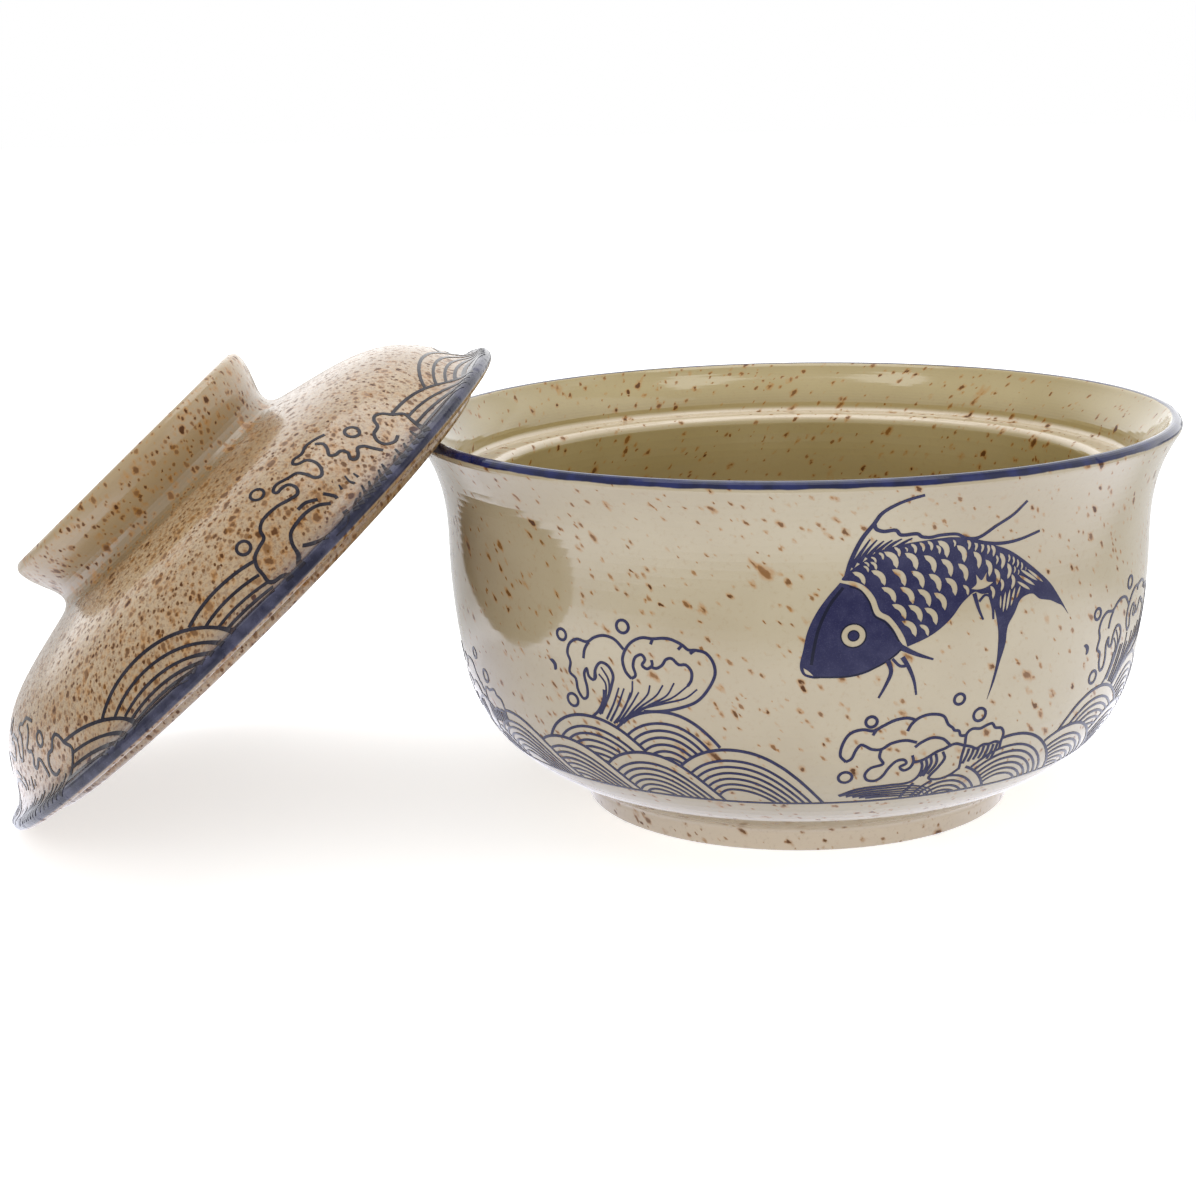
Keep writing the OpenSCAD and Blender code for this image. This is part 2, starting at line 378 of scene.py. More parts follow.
# %% Glaze
GLAZE_IOR = 1.66
GRAIN_DULL, COBALT_DULL = 0.42, 0.3
CLOUD_ROUGH, GRAIN_ROUGH = 0.06, 0.2
PEEL_SCALE, SAND_SCALE, SAND_SHARE = 420.0, 2600.0, 0.12


def start_glaze(name, place=None):
    """A material with its shader and the piece's own frame; place is (location, rotation)."""
    material = bpy.data.materials.new(name)
    material.use_nodes = True
    tree = material.node_tree
    vector = tree.nodes.new("ShaderNodeTexCoord").outputs["Object"]
    if place:
        mapping = tree.nodes.new("ShaderNodeMapping")
        mapping.vector_type = "TEXTURE"
        mapping.inputs["Location"].default_value = place[0]
        mapping.inputs["Rotation"].default_value = place[1]
        link(tree, vector, mapping.inputs["Vector"])
        vector = mapping.outputs[0]
    return material, tree, vector


def speckle(tree, vector, ground, layers):
    """Lays the layers of specks on a ground colour; gives the colour and the grains' mask."""
    masks = 0.0
    for cell, share, radius, halo, darkness in layers:
        specks = place_group(tree, iron_specks, Vector=vector, Ground=ground, Cell=cell * MM, Share=share,
                             Radius=radius, Halo=halo, Darkness=darkness)
        ground = specks.outputs["Color"]
        masks = math_node(tree, "MAXIMUM", masks, specks.outputs["Mask"])
    return ground, masks


def finish_glaze(tree, vector, colour, grains, cobalt, gloss, relief):
    """Clear glaze over a colour: glossy, with faint orange peel, and duller on grains and cobalt."""
    shader = tree.nodes["Principled BSDF"]
    link(tree, colour, shader.inputs["Base Color"])
    shader.inputs["IOR"].default_value = GLAZE_IOR
    dull = math_node(tree, "MAXIMUM", times(tree, grains, GRAIN_DULL), times(tree, cobalt, COBALT_DULL))
    link(tree, math_node(tree, "SUBTRACT", 0.5, dull), shader.inputs["Specular IOR Level"])
    cloud = noise(tree, vector, 60.0, 3.0)[0]
    rough = plus(tree, gloss, times(tree, cloud, CLOUD_ROUGH))
    rough = plus(tree, rough, times(tree, grains, GRAIN_ROUGH))
    link(tree, rough, shader.inputs["Roughness"])
    peel = noise(tree, vector, PEEL_SCALE, 2.0)[0]
    sand = noise(tree, vector, SAND_SCALE, 1.0)[0]
    height = plus(tree, peel, times(tree, sand, SAND_SHARE))
    height = math_node(tree, "SUBTRACT", height, grains)
    bump = tree.nodes.new("ShaderNodeBump")
    bump.inputs["Distance"].default_value = relief * MM
    link(tree, height, bump.inputs["Height"])
    link(tree, bump.outputs[0], shader.inputs["Normal"])

# %% [markdown]
# On the bowl the ground is a warm putty colour with soft clouds. The inside is painted darker and
# more olive: painted shade of the hollow. The ledge, which faces up to the top lamp, and the foot,
# which mirrors the bright table, are painted paler: painted light. A curve over the height gives
# the middle of the wall, which tells the inside from the outside.
# The larger specks gather below the lip. The outer half of the lip was dipped in cobalt, with
# an edge that wavers a little.

# %% Bowl glaze
PUTTY = ((0.43, 0.353, 0.227, 1), (0.49, 0.417, 0.281, 1))
# Painted shade: the inside ground is painted darker and more olive, for the shade of the hollow.
SHADED_OLIVE = ((0.395, 0.313, 0.144, 1), (0.452, 0.365, 0.183, 1))
BOWL_SAND = (0.36, 0.245, 0.12, 1)
BOWL_SPECKS = ((1.6, 0.33, 0.3, 0.8, 0.7), (3.1, 0.52, 0.25, 0.95, 1.0))
SLANT, PRESS = 7.0, 0.78
LIP_TONES = ((0.006, 0.009, 0.045, 1), (0.012, 0.018, 0.095, 1))
CURVE_SPAN = 100
BAND_LOW = 85.5
BAND_INNER = 82.7
LEDGE_LOW, LEDGE_HIGH = 74.0, 76.6
FOOT_LOW, FOOT_HIGH = 6.0, 8.0
# Painted light: the ledge, which faces up to the top lamp, is painted paler.
PAINTED_LEDGE_LIGHT = (0.61, 0.51, 0.36, 1)
# Painted light: the foot is painted paler where it mirrors the bright table.
PAINTED_FOOT_LIGHT = (0.7, 0.59, 0.44, 1)
WALL_MIDDLE = ((8.5, 0), (12, 51), (18, 65), (26, 71), (36, 74), (50, 75.5), (72, 75), (77, 78.5),
               (86, 83.4), (CURVE_SPAN, 90))


def wall_inside(tree, radius, height):
    """1 on the inside of the bowl's wall and 0 on its outside."""
    curve = tree.nodes.new("ShaderNodeFloatCurve")
    points = curve.mapping.curves[0].points
    for middle in WALL_MIDDLE[1:-1]:
        points.new(middle[0] / CURVE_SPAN, middle[1] / CURVE_SPAN)
    points[0].location = (WALL_MIDDLE[0][0] / CURVE_SPAN, 0)
    points[len(points) - 1].location = (1, WALL_MIDDLE[-1][1] / CURVE_SPAN)
    curve.mapping.update()
    link(tree, math_node(tree, "DIVIDE", height, CURVE_SPAN), curve.inputs["Value"])
    middle = times(tree, curve.outputs[0], CURVE_SPAN)
    return ramp(tree, math_node(tree, "SUBTRACT", middle, radius), -0.4, 0.4)


def bowl_glaze():
    """Putty ground, painted shade inside, painted light on the ledge and foot, slanted specks, cobalt lip.
    """
    material, tree, vector = start_glaze("glazed_bowl")
    radius, height = axis_place(tree, vector)
    cloud = clouds(tree, vector, 22.0, 4.0)
    outer_ground = blend(tree, cloud, *PUTTY)
    # Painted light: the foot is painted paler.
    outer_ground = blend(tree, ramp(tree, height, FOOT_HIGH, FOOT_LOW), outer_ground, PAINTED_FOOT_LIGHT)
    # Painted shade: the inside of the bowl gets the darker, more olive ground.
    inner_ground = blend(tree, cloud, *SHADED_OLIVE)
    # Painted light on the ledge, which faces the top lamp.
    ledge = times(tree, ramp(tree, height, LEDGE_LOW, LEDGE_LOW + 1),
                  ramp(tree, height, LEDGE_HIGH, LEDGE_HIGH - 0.6))
    inner_ground = blend(tree, ledge, inner_ground, PAINTED_LEDGE_LIGHT)
    ground = blend(tree, wall_inside(tree, radius, height), outer_ground, inner_ground)
    sand = noise(tree, vector, 900.0, 4.0, 0.7)[0]
    ground = blend(tree, times(tree, ramp(tree, sand, 0.52, 0.75), 0.3), ground, BOWL_SAND)
    drawn = twisted(tree, vector, SLANT, PRESS)
    near_lip = plus(tree, 0.2, times(tree, ramp(tree, height, 50.0, 80.0), 0.35))
    colour, grains = speckle(tree, drawn, ground, BOWL_SPECKS + ((6.5, near_lip, 0.19, 0.95, 1.0),))
    waver = noise(tree, vector, 120.0, 3.0)[0]
    band = ramp(tree, plus(tree, height, times(tree, waver, 0.8)), BAND_LOW + 0.3, BAND_LOW + 0.6)
    outer = ramp(tree, plus(tree, radius, times(tree, waver, 0.3)), BAND_INNER, BAND_INNER + 0.3)
    tone = clouds(tree, vector, 300.0)
    lip = times(tree, band, outer)
    colour = blend(tree, lip, colour, blend(tree, tone, *LIP_TONES))
    finish_glaze(tree, vector, colour, grains, lip, 0.05, 0.007)
    return material


def dress(name, material):
    """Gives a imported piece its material."""
    slots = bpy.data.objects[name].data.materials
    slots.clear()
    slots.append(material)
    print(name, "wears", material.name)


dress("bowl", bowl_glaze())

# %% [markdown]
# The lid was fired hotter on its top, so its clay is darker and the specks run together into a
# fine brown grain. The knob is paler, with painted shade round its neck. The pattern is worked
# out in the lid's own frame, which a Mapping node finds again under its lean: the seat is at
# height zero and the knob points up the axis.

# %% Lid glaze
LID_LEAN = math.radians(42.4)
LID_SIDE = math.radians(186)
LID_PLACE = Vector((-121.944, -12.817, 50.161)) * MM
lid_turn = Matrix.Rotation(LID_SIDE, 4, "Z") @ Matrix.Rotation(LID_LEAN, 4, "Y")
lid_frame = Matrix.Translation(LID_PLACE) @ lid_turn
KNOB_REACH = 36.0
KNOB_FOOT = 26.5
NECK_LOW, NECK_HIGH = 27.0, 36.0
# Painted shade: the knob is painted darker round its neck.
PAINTED_NECK_SHADE = (0.24, 0.168, 0.088, 1)
LID_GROUND_TONES = ((0.345, 0.238, 0.132, 1), (0.455, 0.334, 0.2, 1))
KNOB_GROUND_TONES = ((0.35, 0.25, 0.13, 1), (0.41, 0.308, 0.175, 1))
LID_SAND = (0.17, 0.09, 0.042, 1)
LID_SPECKS = ((1.1, 1.0, 0.5, 0.38, 1.0), (2.0, 0.95, 0.42, 0.5, 1.0), (4.0, 0.8, 0.3, 0.62, 1.0))
KNOB_SPECKS = ((1.3, 0.95, 0.4, 0.65, 1.0), (2.6, 0.85, 0.35, 0.75, 1.0), (5.0, 0.65, 0.27, 0.85, 1.0))
LID_SLANT, LID_PRESS = -4.0, 0.8
EDGE_WASH = (0.05, 0.055, 0.095, 1)
EDGE_TONES = ((0.01, 0.011, 0.03, 1), (0.055, 0.056, 0.1, 1))
WASH_FROM, WASH_FULL = 69.5, 74.2
EDGE_FROM, EDGE_FULL = 73.7, 74.6


def lid_glaze():
    """Sandy, densely speckled dome, paler knob, cobalt edge and a bare underside."""
    material, tree, vector = start_glaze("glazed_lid", (LID_PLACE, lid_turn.to_euler()))
    radius, height = axis_place(tree, vector)
    cloud = clouds(tree, vector, 26.0, 4.0)
    ground = blend(tree, cloud, *LID_GROUND_TONES)
    sand = noise(tree, vector, 1100.0, 4.0, 0.75)[0]
    ground = blend(tree, times(tree, ramp(tree, sand, 0.45, 0.62), 0.55), ground, LID_SAND)
    drawn = twisted(tree, vector, LID_SLANT, LID_PRESS)
    dense, dense_grains = speckle(tree, drawn, ground, LID_SPECKS)
    knob_ground = blend(tree, cloud, *KNOB_GROUND_TONES)
    # Painted shade round the knob's neck.
    knob_ground = blend(tree, ramp(tree, height, NECK_HIGH, NECK_LOW), knob_ground, PAINTED_NECK_SHADE)
    sparse, sparse_grains = speckle(tree, drawn, knob_ground, KNOB_SPECKS)
    on_knob = times(tree, ramp(tree, radius, KNOB_REACH + 0.5, KNOB_REACH - 0.5),
                    ramp(tree, height, KNOB_FOOT - 0.5, KNOB_FOOT + 0.5))
    colour = blend(tree, on_knob, dense, sparse)
    grains = blend(tree, on_knob, dense_grains, sparse_grains)
    waver = noise(tree, vector, 110.0, 3.0)[0]
    outward = plus(tree, radius, times(tree, waver, 1.6))
    upper = ramp(tree, height, 0.6, 1.0)
    wash = times(tree, ramp(tree, outward, WASH_FROM, WASH_FULL), 0.6)
    colour = blend(tree, times(tree, wash, upper), colour, EDGE_WASH)
    tone = clouds(tree, vector, 260.0)
    rim = times(tree, ramp(tree, outward, EDGE_FROM, EDGE_FULL), upper)
    colour = blend(tree, rim, colour, blend(tree, tone, *EDGE_TONES))
    finish_glaze(tree, vector, colour, grains, rim, 0.16, 0.014)
    return material


dress("lid", lid_glaze())

# %% [markdown]
# The print is drawn flat first, the way a transfer is drawn before it is laid on the ware. In the
# drawing u runs round the piece and v runs up its outside, both in millimetres. A stroke is a
# short list of points with a width at each end. The line runs smoothly through its points, and
# a point that is written twice is a corner.

# %% Drawing smooth lines
LINE_STEP = 0.5


def through(points):
    """Points at even steps along a smooth open line through the given ones."""
    given = np.array(points, float)
    chord = np.linalg.norm(np.diff(given, axis=0), axis=1)
    heading = np.empty_like(given)
    heading[1:-1] = (given[2:] - given[:-2]) / (chord[1:] + chord[:-1])[:, None]
    heading[0] = (given[1] - given[0]) / chord[0]
    heading[-1] = (given[-1] - given[-2]) / chord[-1]
    line = []
    for i, length in enumerate(chord):
        t = (np.arange(math.ceil(length / LINE_STEP)) / math.ceil(length / LINE_STEP))[:, None]
        line.append((2 * t ** 3 - 3 * t ** 2 + 1) * given[i] + (3 * t ** 2 - 2 * t ** 3) * given[i + 1]
                    + length * ((t ** 3 - 2 * t ** 2 + t) * heading[i] + (t ** 3 - t ** 2) * heading[i + 1]))
    return np.vstack(line + [given[-1:]])


def smooth(points):
    """A smooth line through the points, with a corner at each point that is written twice."""
    runs, run = [], [points[0]]
    for point in points[1:]:
        if point == run[-1]:
            runs.append(run)
            run = [point]
        else:
            run.append(point)
    return np.vstack([through(run) for run in runs + [run] if len(run) > 1])


def brushed(lines, start, end=None):
    """Smooth strokes through lists of points, with a width at each end."""
    return [(smooth(points), start, start if end is None else end) for points in lines]


def smooth_loop(points):
    """The same for a closed line, which starts and ends at its first corner."""
    first = [i for i in range(len(points)) if points[i] == points[i - 1]][0]
    return smooth(points[first:] + points[:first])[:-1]


def ring(centre, radius, count=18):
    """A round bubble."""
    turns = np.arange(count) * math.tau / count
    return np.array(centre) + radius * np.stack([np.cos(turns), np.sin(turns)], axis=1)


def inside(point, outline):
    """Whether a point lies in a closed outline, by counting the sides that a level ray crosses."""
    x, y = outline[:, 0], outline[:, 1]
    x2, y2 = np.roll(x, -1), np.roll(y, -1)
    straddles = (y > point[1]) != (y2 > point[1])
    with np.errstate(divide="ignore", invalid="ignore"):
        crossing = x + (point[1] - y) * (x2 - x) / (y2 - y)
    return bool(np.sum(straddles & (crossing > point[0])) % 2)


def visible_runs(line, covers):
    """The stretches of a line that no cover hides."""
    runs, run = [], []
    for point in line:
        if any(inside(point, cover) for cover in covers):
            if len(run) > 2:
                runs.append(np.array(run))
            run = []
        else:
            run.append(point)
    return runs + ([np.array(run)] if len(run) > 2 else [])


# %% [markdown]
# Waves of overlapping mounds are a very old pattern. Each mound is a set of arcs: one wide
# margin and then lines at even gaps. The mounds are listed from front to back, so an arc is cut
# where any mound before it, of this unit or of its neighbours round the ware, covers it.

# %% Mounds
FULL = (2.0, 0.5)
EASED = (2.2, 1.0)
ARC_POINTS = 81
FAR_BELOW = 60
LEAST_RISE = 2


def mound_line(mound, gap, sides):
    """One arc of a mound (peak u, peak v, left, right, rise), the gap below its outer one."""
    u, v, left, right, rise = mound
    line = []
    for turn in np.linspace(-math.pi / 2, math.pi / 2, ARC_POINTS):
        share = math.sin(turn)
        power, root = sides[0] if share < 0 else sides[1]
        reach = (left if share < 0 else right) - gap
        height = (rise - gap) * (1 - abs(share) ** power) ** root
        line.append((u + share * reach, v - rise + height))
    return np.array(line)


def mound_cover(mound, sides, shift):
    """All that a mound hides: its outer arc and everything under it."""
    line = mound_line(mound, 0, sides) + [shift, 0]
    depth = np.array([0, -FAR_BELOW])
    return np.vstack([line, line[-1:] + depth, line[:1] + depth])


def mound_strokes(mounds, gaps, sides, unit, ground, covers, widths):
    """Strokes of all the mounds of one unit, cut where something in front hides them."""
    strokes = []
    below = np.array([(-2 * unit, ground), (2 * unit, ground), (2 * unit, ground - FAR_BELOW),
                      (-2 * unit, ground - FAR_BELOW)])
    for i, mound in enumerate(mounds):
        in_front = covers + [below] + [mound_cover(other, sides, shift) for other in mounds[:i]
                                       for shift in (-unit, 0, unit)]
        for gap in gaps:
            if gap < mound[4] - LEAST_RISE:
                width = widths[1] if gap else widths[0]
                shown = visible_runs(mound_line(mound, gap, sides), in_front)
                strokes += [(run, width, width) for run in shown]
    return strokes


# %% Waves on the bowl
BOWL_UNIT = 119.38
BAND_GROUND = 19.9
BOWL_GAPS = (0, 2.6, 4.2, 5.8, 7.4, 9.0, 10.6)
BOWL_MOUNDS = [(33.5, 28.4, 10, 12, 9.5), (47.5, 33.9, 14.6, 18.5, 15), (-53.5, 32.2, 14.6, 18.5, 15),
               (-32, 32.2, 14.6, 17.5, 15), (-45, 38.9, 14.6, 19.5, 15), (-13.5, 34.8, 14.6, 19.5, 15),
               (-27, 42.2, 14.6, 16.5, 15)]
LINE = 0.31
BOWL_LINES = (0.33, 0.29)
HAIR_LINE = (0.17, 0.26)
SWOOSH_LINE = (0.3, 0.14)
GROUND_LINE = 0.3
bowl_covers = [
    np.array([(8, 19), (8.9, 22.6), (13.2, 24.3), (25.5, 25), (31.5, 25), (33.8, 26.2), (35.4, 27.2),
              (35.4, 45), (8, 45)]),
    np.array([(35.4, 27), (35.4, 45), (44.6, 45), (44.6, 31.2), (41, 29.5), (38.5, 28.8)])]
bowl_loops = [(ring(*bubble), LINE) for bubble in (
    ((-49.6, 56), 1.2), ((-34.5, 59.7), 1.35), ((-48.4, 41.9), 1.4), ((14.9, 41), 1.15),
    ((33.1, 44.2), 1.15), ((38.1, 40.1), 1.4), ((10.2, 28), 1.45))]
standing_crest = [
    [(-43.6, 39), (-42.2, 40.2), (-41.0, 41.8), (-40.2, 43.6), (-39.9, 45.5)],
    [(-34.5, 54.9), (-36.5, 56.8), (-38.9, 57.3), (-41.2, 56.6), (-43.1, 55.4), (-45.7, 55.6), (-47.6, 54.4),
     (-48.4, 52.3), (-47.8, 50.4), (-48.3, 48.1), (-46.9, 46.9), (-46.6, 44.4), (-45.5, 42.7), (-44.4, 43.2),
     (-44.1, 45.2), (-44.5, 48.3), (-43.7, 49.6), (-43.4, 48), (-42.4, 47.3), (-41.7, 47.9), (-41.7, 49.5)],
    [(-42.7, 55.4), (-43.8, 53.7), (-44.3, 51.7)],
    [(-42, 47.4), (-41.5, 49.8), (-40.1, 51.4), (-38.4, 50.9), (-37.4, 49), (-37.9, 46.9), (-39.3, 43.6),
     (-41.7, 39.8)],
    [(-33.2, 48.8), (-34.4, 50.2), (-34.9, 52.6), (-34.2, 54.7), (-32.7, 56.6), (-30.4, 57.8), (-28, 57.8),
     (-26, 58.1), (-24.2, 58), (-21.9, 57), (-20.8, 56.1), (-19.2, 56.1), (-17.2, 55.6), (-15.8, 53.6),
     (-15.6, 51.1), (-17.2, 47.8), (-19.5, 45.2), (-22.8, 43.6), (-27, 42.4), (-31, 41.9)],
    [(-33.2, 48.8), (-32.2, 49.6), (-32.6, 51.6), (-32, 53.5), (-30.6, 54.2), (-29.9, 53.2), (-30.6, 52),
     (-29.6, 51.3), (-28.4, 52.2), (-28.5, 53.3)],
    [(-28.9, 51.9), (-27.6, 51.6), (-26.3, 52.4), (-25.4, 53.7), (-24.2, 54), (-22.8, 52.8), (-21.4, 52.9),
     (-20.3, 51.6), (-20.4, 49.7), (-21.2, 48.4)],
    [(-28, 57.8), (-28.5, 56.6)], [(-21.9, 57), (-22.8, 56)], [(-19.4, 56.1), (-20.4, 55.3)]]
crest_hair = [
    [(-40.8, 48.8), (-39.4, 46.9), (-39.7, 44.1), (-41.6, 40.6)],
    [(-40.1, 50.4), (-38.6, 47.8), (-38.9, 44.5), (-41.2, 40)],
    [(-36.3, 46.4), (-37.9, 42.7), (-40.1, 38.9)], [(-35.1, 46.4), (-37, 42.2), (-39.2, 38.6)],
    [(-33.7, 45.7), (-35.6, 41.7), (-38.4, 38.2)], [(-33, 48.3), (-33.4, 45.7), (-35, 42.9), (-37.8, 38.4)],
    [(-31.8, 46), (-33.7, 43.1), (-37.1, 38.6)],
    [(-29.2, 47.8), (-29.9, 45.7), (-33.2, 42.2), (-36.8, 38.1)],
    [(-26.4, 48.1), (-28, 45.7), (-31.8, 42.7), (-36.1, 38.6)],
    [(-24, 48.8), (-25.7, 46), (-29.9, 43.3), (-34.6, 40)],
    [(-21.2, 48.4), (-24.7, 45.5), (-29, 43.6), (-33.7, 41.2), (-36.5, 38.9)],
    [(-19.3, 47.8), (-21.9, 45.7), (-26.6, 44.1), (-31.3, 42.4), (-35.4, 39.6)]]
rolling_crest = [
    [(10.1, 32.1), (8.9, 33.7), (9.4, 36.6), (10.8, 38.7), (13.2, 39.4), (15.4, 39), (17.2, 39.9),
     (19.6, 41), (22.2, 41.3), (24.2, 40.6)],
    [(15.3, 38), (16, 39.2)],
    [(22.4, 38.4), (23.2, 39.9), (24.9, 41.2), (27.3, 41.6), (29.9, 40.9), (31.1, 38.9), (32.2, 38),
     (32.6, 37.4), (33.7, 37.1), (34.2, 36), (35.5, 35.8)],
    [(10.1, 32.1), (11.2, 32.8), (12, 34.8), (13, 36), (14.1, 35.5), (15.3, 34.8), (17.2, 34.7),
     (19.3, 35.9), (22.2, 36.3), (24.6, 35.6)],
    [(24.3, 34.5), (25.4, 35.4), (27.8, 36.3), (30.2, 35.8), (31.6, 34.6), (32.3, 33.7)],
    [(17.2, 34.7), (17, 32.8), (17.9, 31.1), (15.4, 30.2), (14.3, 28.6), (14.9, 27), (16.6, 26.6),
     (18, 27.6), (19.1, 29.7), (20.6, 31.5), (22.3, 31.7), (22.9, 30.7), (21.6, 29.9), (22.6, 28.9),
     (23.9, 29.5), (24.4, 31), (24, 32.6)],
    [(24.2, 30.9), (25.4, 30.9), (26.9, 31.4), (29.2, 32.8), (30.8, 33.3), (33.2, 34.2), (35.4, 33.5)],
    [(35.6, 27.2), (35.4, 31), (35.6, 33.3), (35.6, 36.1), (36.8, 37.1), (38.7, 36.9), (40.1, 37.4),
     (41.5, 37.6), (42.4, 36.5), (44, 36.1), (44.8, 34.8), (44.6, 32.6), (44.7, 30.8)],
    [(35.7, 33.4), (37.2, 32.9), (38.7, 32.2), (40, 32.9), (41.6, 32.8), (43, 33.1), (44.6, 32.6)],
    [(30.7, 32.6), (31.4, 30.9), (30.2, 28.5), (28.8, 25.9), (31.4, 25.2), (33.8, 26), (35.6, 27.6)],
    [(29.2, 32.3), (29.7, 30), (28.3, 27.1)], [(28.1, 31.8), (28.5, 30), (27.3, 26.7)],
    [(27.1, 31.4), (27.6, 29.5), (26.6, 26.7)],
    [(26.1, 31), (26.6, 29.5), (26.2, 26.9), (24.4, 25.2), (20, 24.9), (13.4, 24.3), (9.2, 22.4)]]
rolling_crest += [[(u, 32.5), (u - 0.2, 30.8), (u - 0.7, 29.6 - 0.25 * abs(u - 40))]
                  for u in (36.8, 38, 39.2, 40.4, 41.6, 42.8, 43.8)]
swoosh = [[(9.4 + 1.5 * i, 22.2 - 0.3 * i), (14 + i, 23.6 - 0.62 * i), (20 + 0.5 * i, 24.1 - 0.78 * i),
           (25.6 + 0.5 * i, 24 - 0.85 * i), (29.8 - 0.6 * i, 22.4 - 0.5 * i), (31.6 - 1.1 * i, 20.2)]
          for i in range(5)]
bottom_line = [(-BOWL_UNIT / 2, 19.7), (-30, 19.8), (0, 19.65), (30, 19.8), (BOWL_UNIT / 2, 19.7)]
bowl_strokes = mound_strokes(BOWL_MOUNDS, BOWL_GAPS, (FULL, EASED), BOWL_UNIT, BAND_GROUND, bowl_covers,
                             BOWL_LINES)
bowl_strokes += brushed(standing_crest + rolling_crest, LINE)
bowl_strokes += brushed(crest_hair, *HAIR_LINE)
bowl_strokes += brushed(swoosh, *SWOOSH_LINE)
bowl_strokes += brushed([bottom_line], GROUND_LINE)
bowl_blots = [smooth_loop([(-53.8, 50), (-53.8, 50), (-52.8, 50.2), (-51.8, 49.3), (-51.9, 48),
                           (-52.6, 47.8), (-52.7, 48.9)])]
print(len(bowl_strokes), "strokes in one unit of the bowl's waves")

# %% [markdown]
# The carp is solid ink with the bare glaze left open in it: the ring of the eye, a crescent for
# each scale and slots for the rays of its fins. So its body is a filled outline and the open
# places are closed outlines inside it. The scales follow the body: they stand in staggered
# rows along a bent middle line and get smaller towards the tail, and two lines of small ones
# follow the back.

# %% Carp
BODY_LINE = [(15.4, 63.6), (21.5, 67.2), (28.5, 69.8), (35.5, 71.2), (42, 70.2), (47, 67.2)]
BACK_LINES = (
    [(12.2, 73), (16, 75.4), (20, 76.3), (25, 76.9), (30, 77), (35.4, 75.8), (40, 73.8), (44, 71.6),
     (48, 68.8), (51, 66.2)],
    [(10.6, 71.6), (15, 73.6), (20, 75.2), (25, 75.8), (30, 75.9), (35.4, 74.4), (40, 72.4), (44, 70),
     (48, 67)])
CARP_HEAD = [(0.8, 53.4), (1.4, 56.4), (2.3, 60.5), (3.9, 64.1), (5.9, 67.1), (8.4, 70.2), (8.4, 70.2),
             (10.4, 69.6), (12.4, 68.6), (14.1, 66.2), (15.2, 63.4), (17.2, 62.1), (18.8, 60.1), (20, 57.8),
             (20.9, 56.6), (20.9, 56.6), (19.4, 54.9), (17, 53.4), (13.6, 51.6), (10, 50.8), (6, 50.9),
             (3.2, 50.8), (1.4, 51.6)]
CARP_BODY = [(8.7, 70.8), (10.4, 72.6), (13.4, 74.8), (15.4, 76.3), (20, 77.5), (24.5, 78), (29.9, 78.2),
             (35.4, 77), (38.5, 75.7), (42.2, 74.2), (45.4, 72.2), (49.9, 68.8), (53.5, 65.7), (56.2, 62.4),
             (59.3, 58.2), (59.3, 58.2), (57.2, 60.3), (55.8, 61), (54, 61.9), (52.6, 62.3), (50.8, 62.8),
             (49, 64.1), (47.2, 64), (45.8, 63.2), (44.6, 60.8), (43.1, 58.3), (42.7, 54.6), (41.7, 51),
             (40.7, 46.9), (39.4, 43.2), (39.4, 43.2), (40.2, 46.9), (40.9, 51), (41, 54.2), (40.9, 57.3),
             (40.2, 61), (39.3, 63.7), (38.4, 65.6), (36.8, 65.7), (35.3, 66.3), (33.6, 65.2), (32.4, 64.1),
             (30.6, 61.8), (28.1, 59.6), (25.4, 58), (21.5, 56.5), (21.5, 56.5), (20.9, 58.4), (19.6, 60.7),
             (17.9, 62.9), (16.1, 64.1), (15, 66.9), (13.1, 69.3), (10.9, 70.4)]
SCALE_SIZE, SCALE_STEP, SCALE_ROW, SCALE_GAP = 2.5, 2.95, 4.1, 0.16
BACK_SCALE = 1.35
FIRST_SCALE, TAIL_TAPER = 1.6, 0.34
BODY_HALF, HALF_TAPER = 9.5, 5
SCALE_PARTS = (1.0, 0.94, 0.88, 0.8, 0.7, 0.6, 0.5)
TILT_SHARE, TILT = 0.6, 0.38
ARC_HALF, HORN_HALF, ARC_COUNT = 64, 88, 9
CRESCENT_SHIFT, CRESCENT_THICK, HORN_POWER = 0.78, 0.47, 0.22
EYE = (11.0, 59.4)
EYE_SEAM, EYE_RING, PUPIL = 2.42, 2.3, 1.05


def crescent(centre, heading, size):
    """The bare crescent of one scale, bowed towards its heading, with rounded ends."""
    turns = heading + np.radians(np.linspace(-ARC_HALF, ARC_HALF, ARC_COUNT))
    rays = np.stack([np.cos(turns), np.sin(turns)], axis=1)
    ahead = np.array([math.cos(heading), math.sin(heading)])
    outer = np.array(centre) + size * (rays - CRESCENT_SHIFT * ahead)
    taper = np.cos(np.radians(np.linspace(-HORN_HALF, HORN_HALF, ARC_COUNT)))[:, None] ** HORN_POWER
    thick = CRESCENT_THICK * size * taper
    return np.vstack([outer, (outer - thick * rays)[-2:0:-1]])


def clear(shape, other):
    """The least distance between the points of two outlines."""
    return np.min(np.linalg.norm(shape[:, None] - other[None], axis=2))


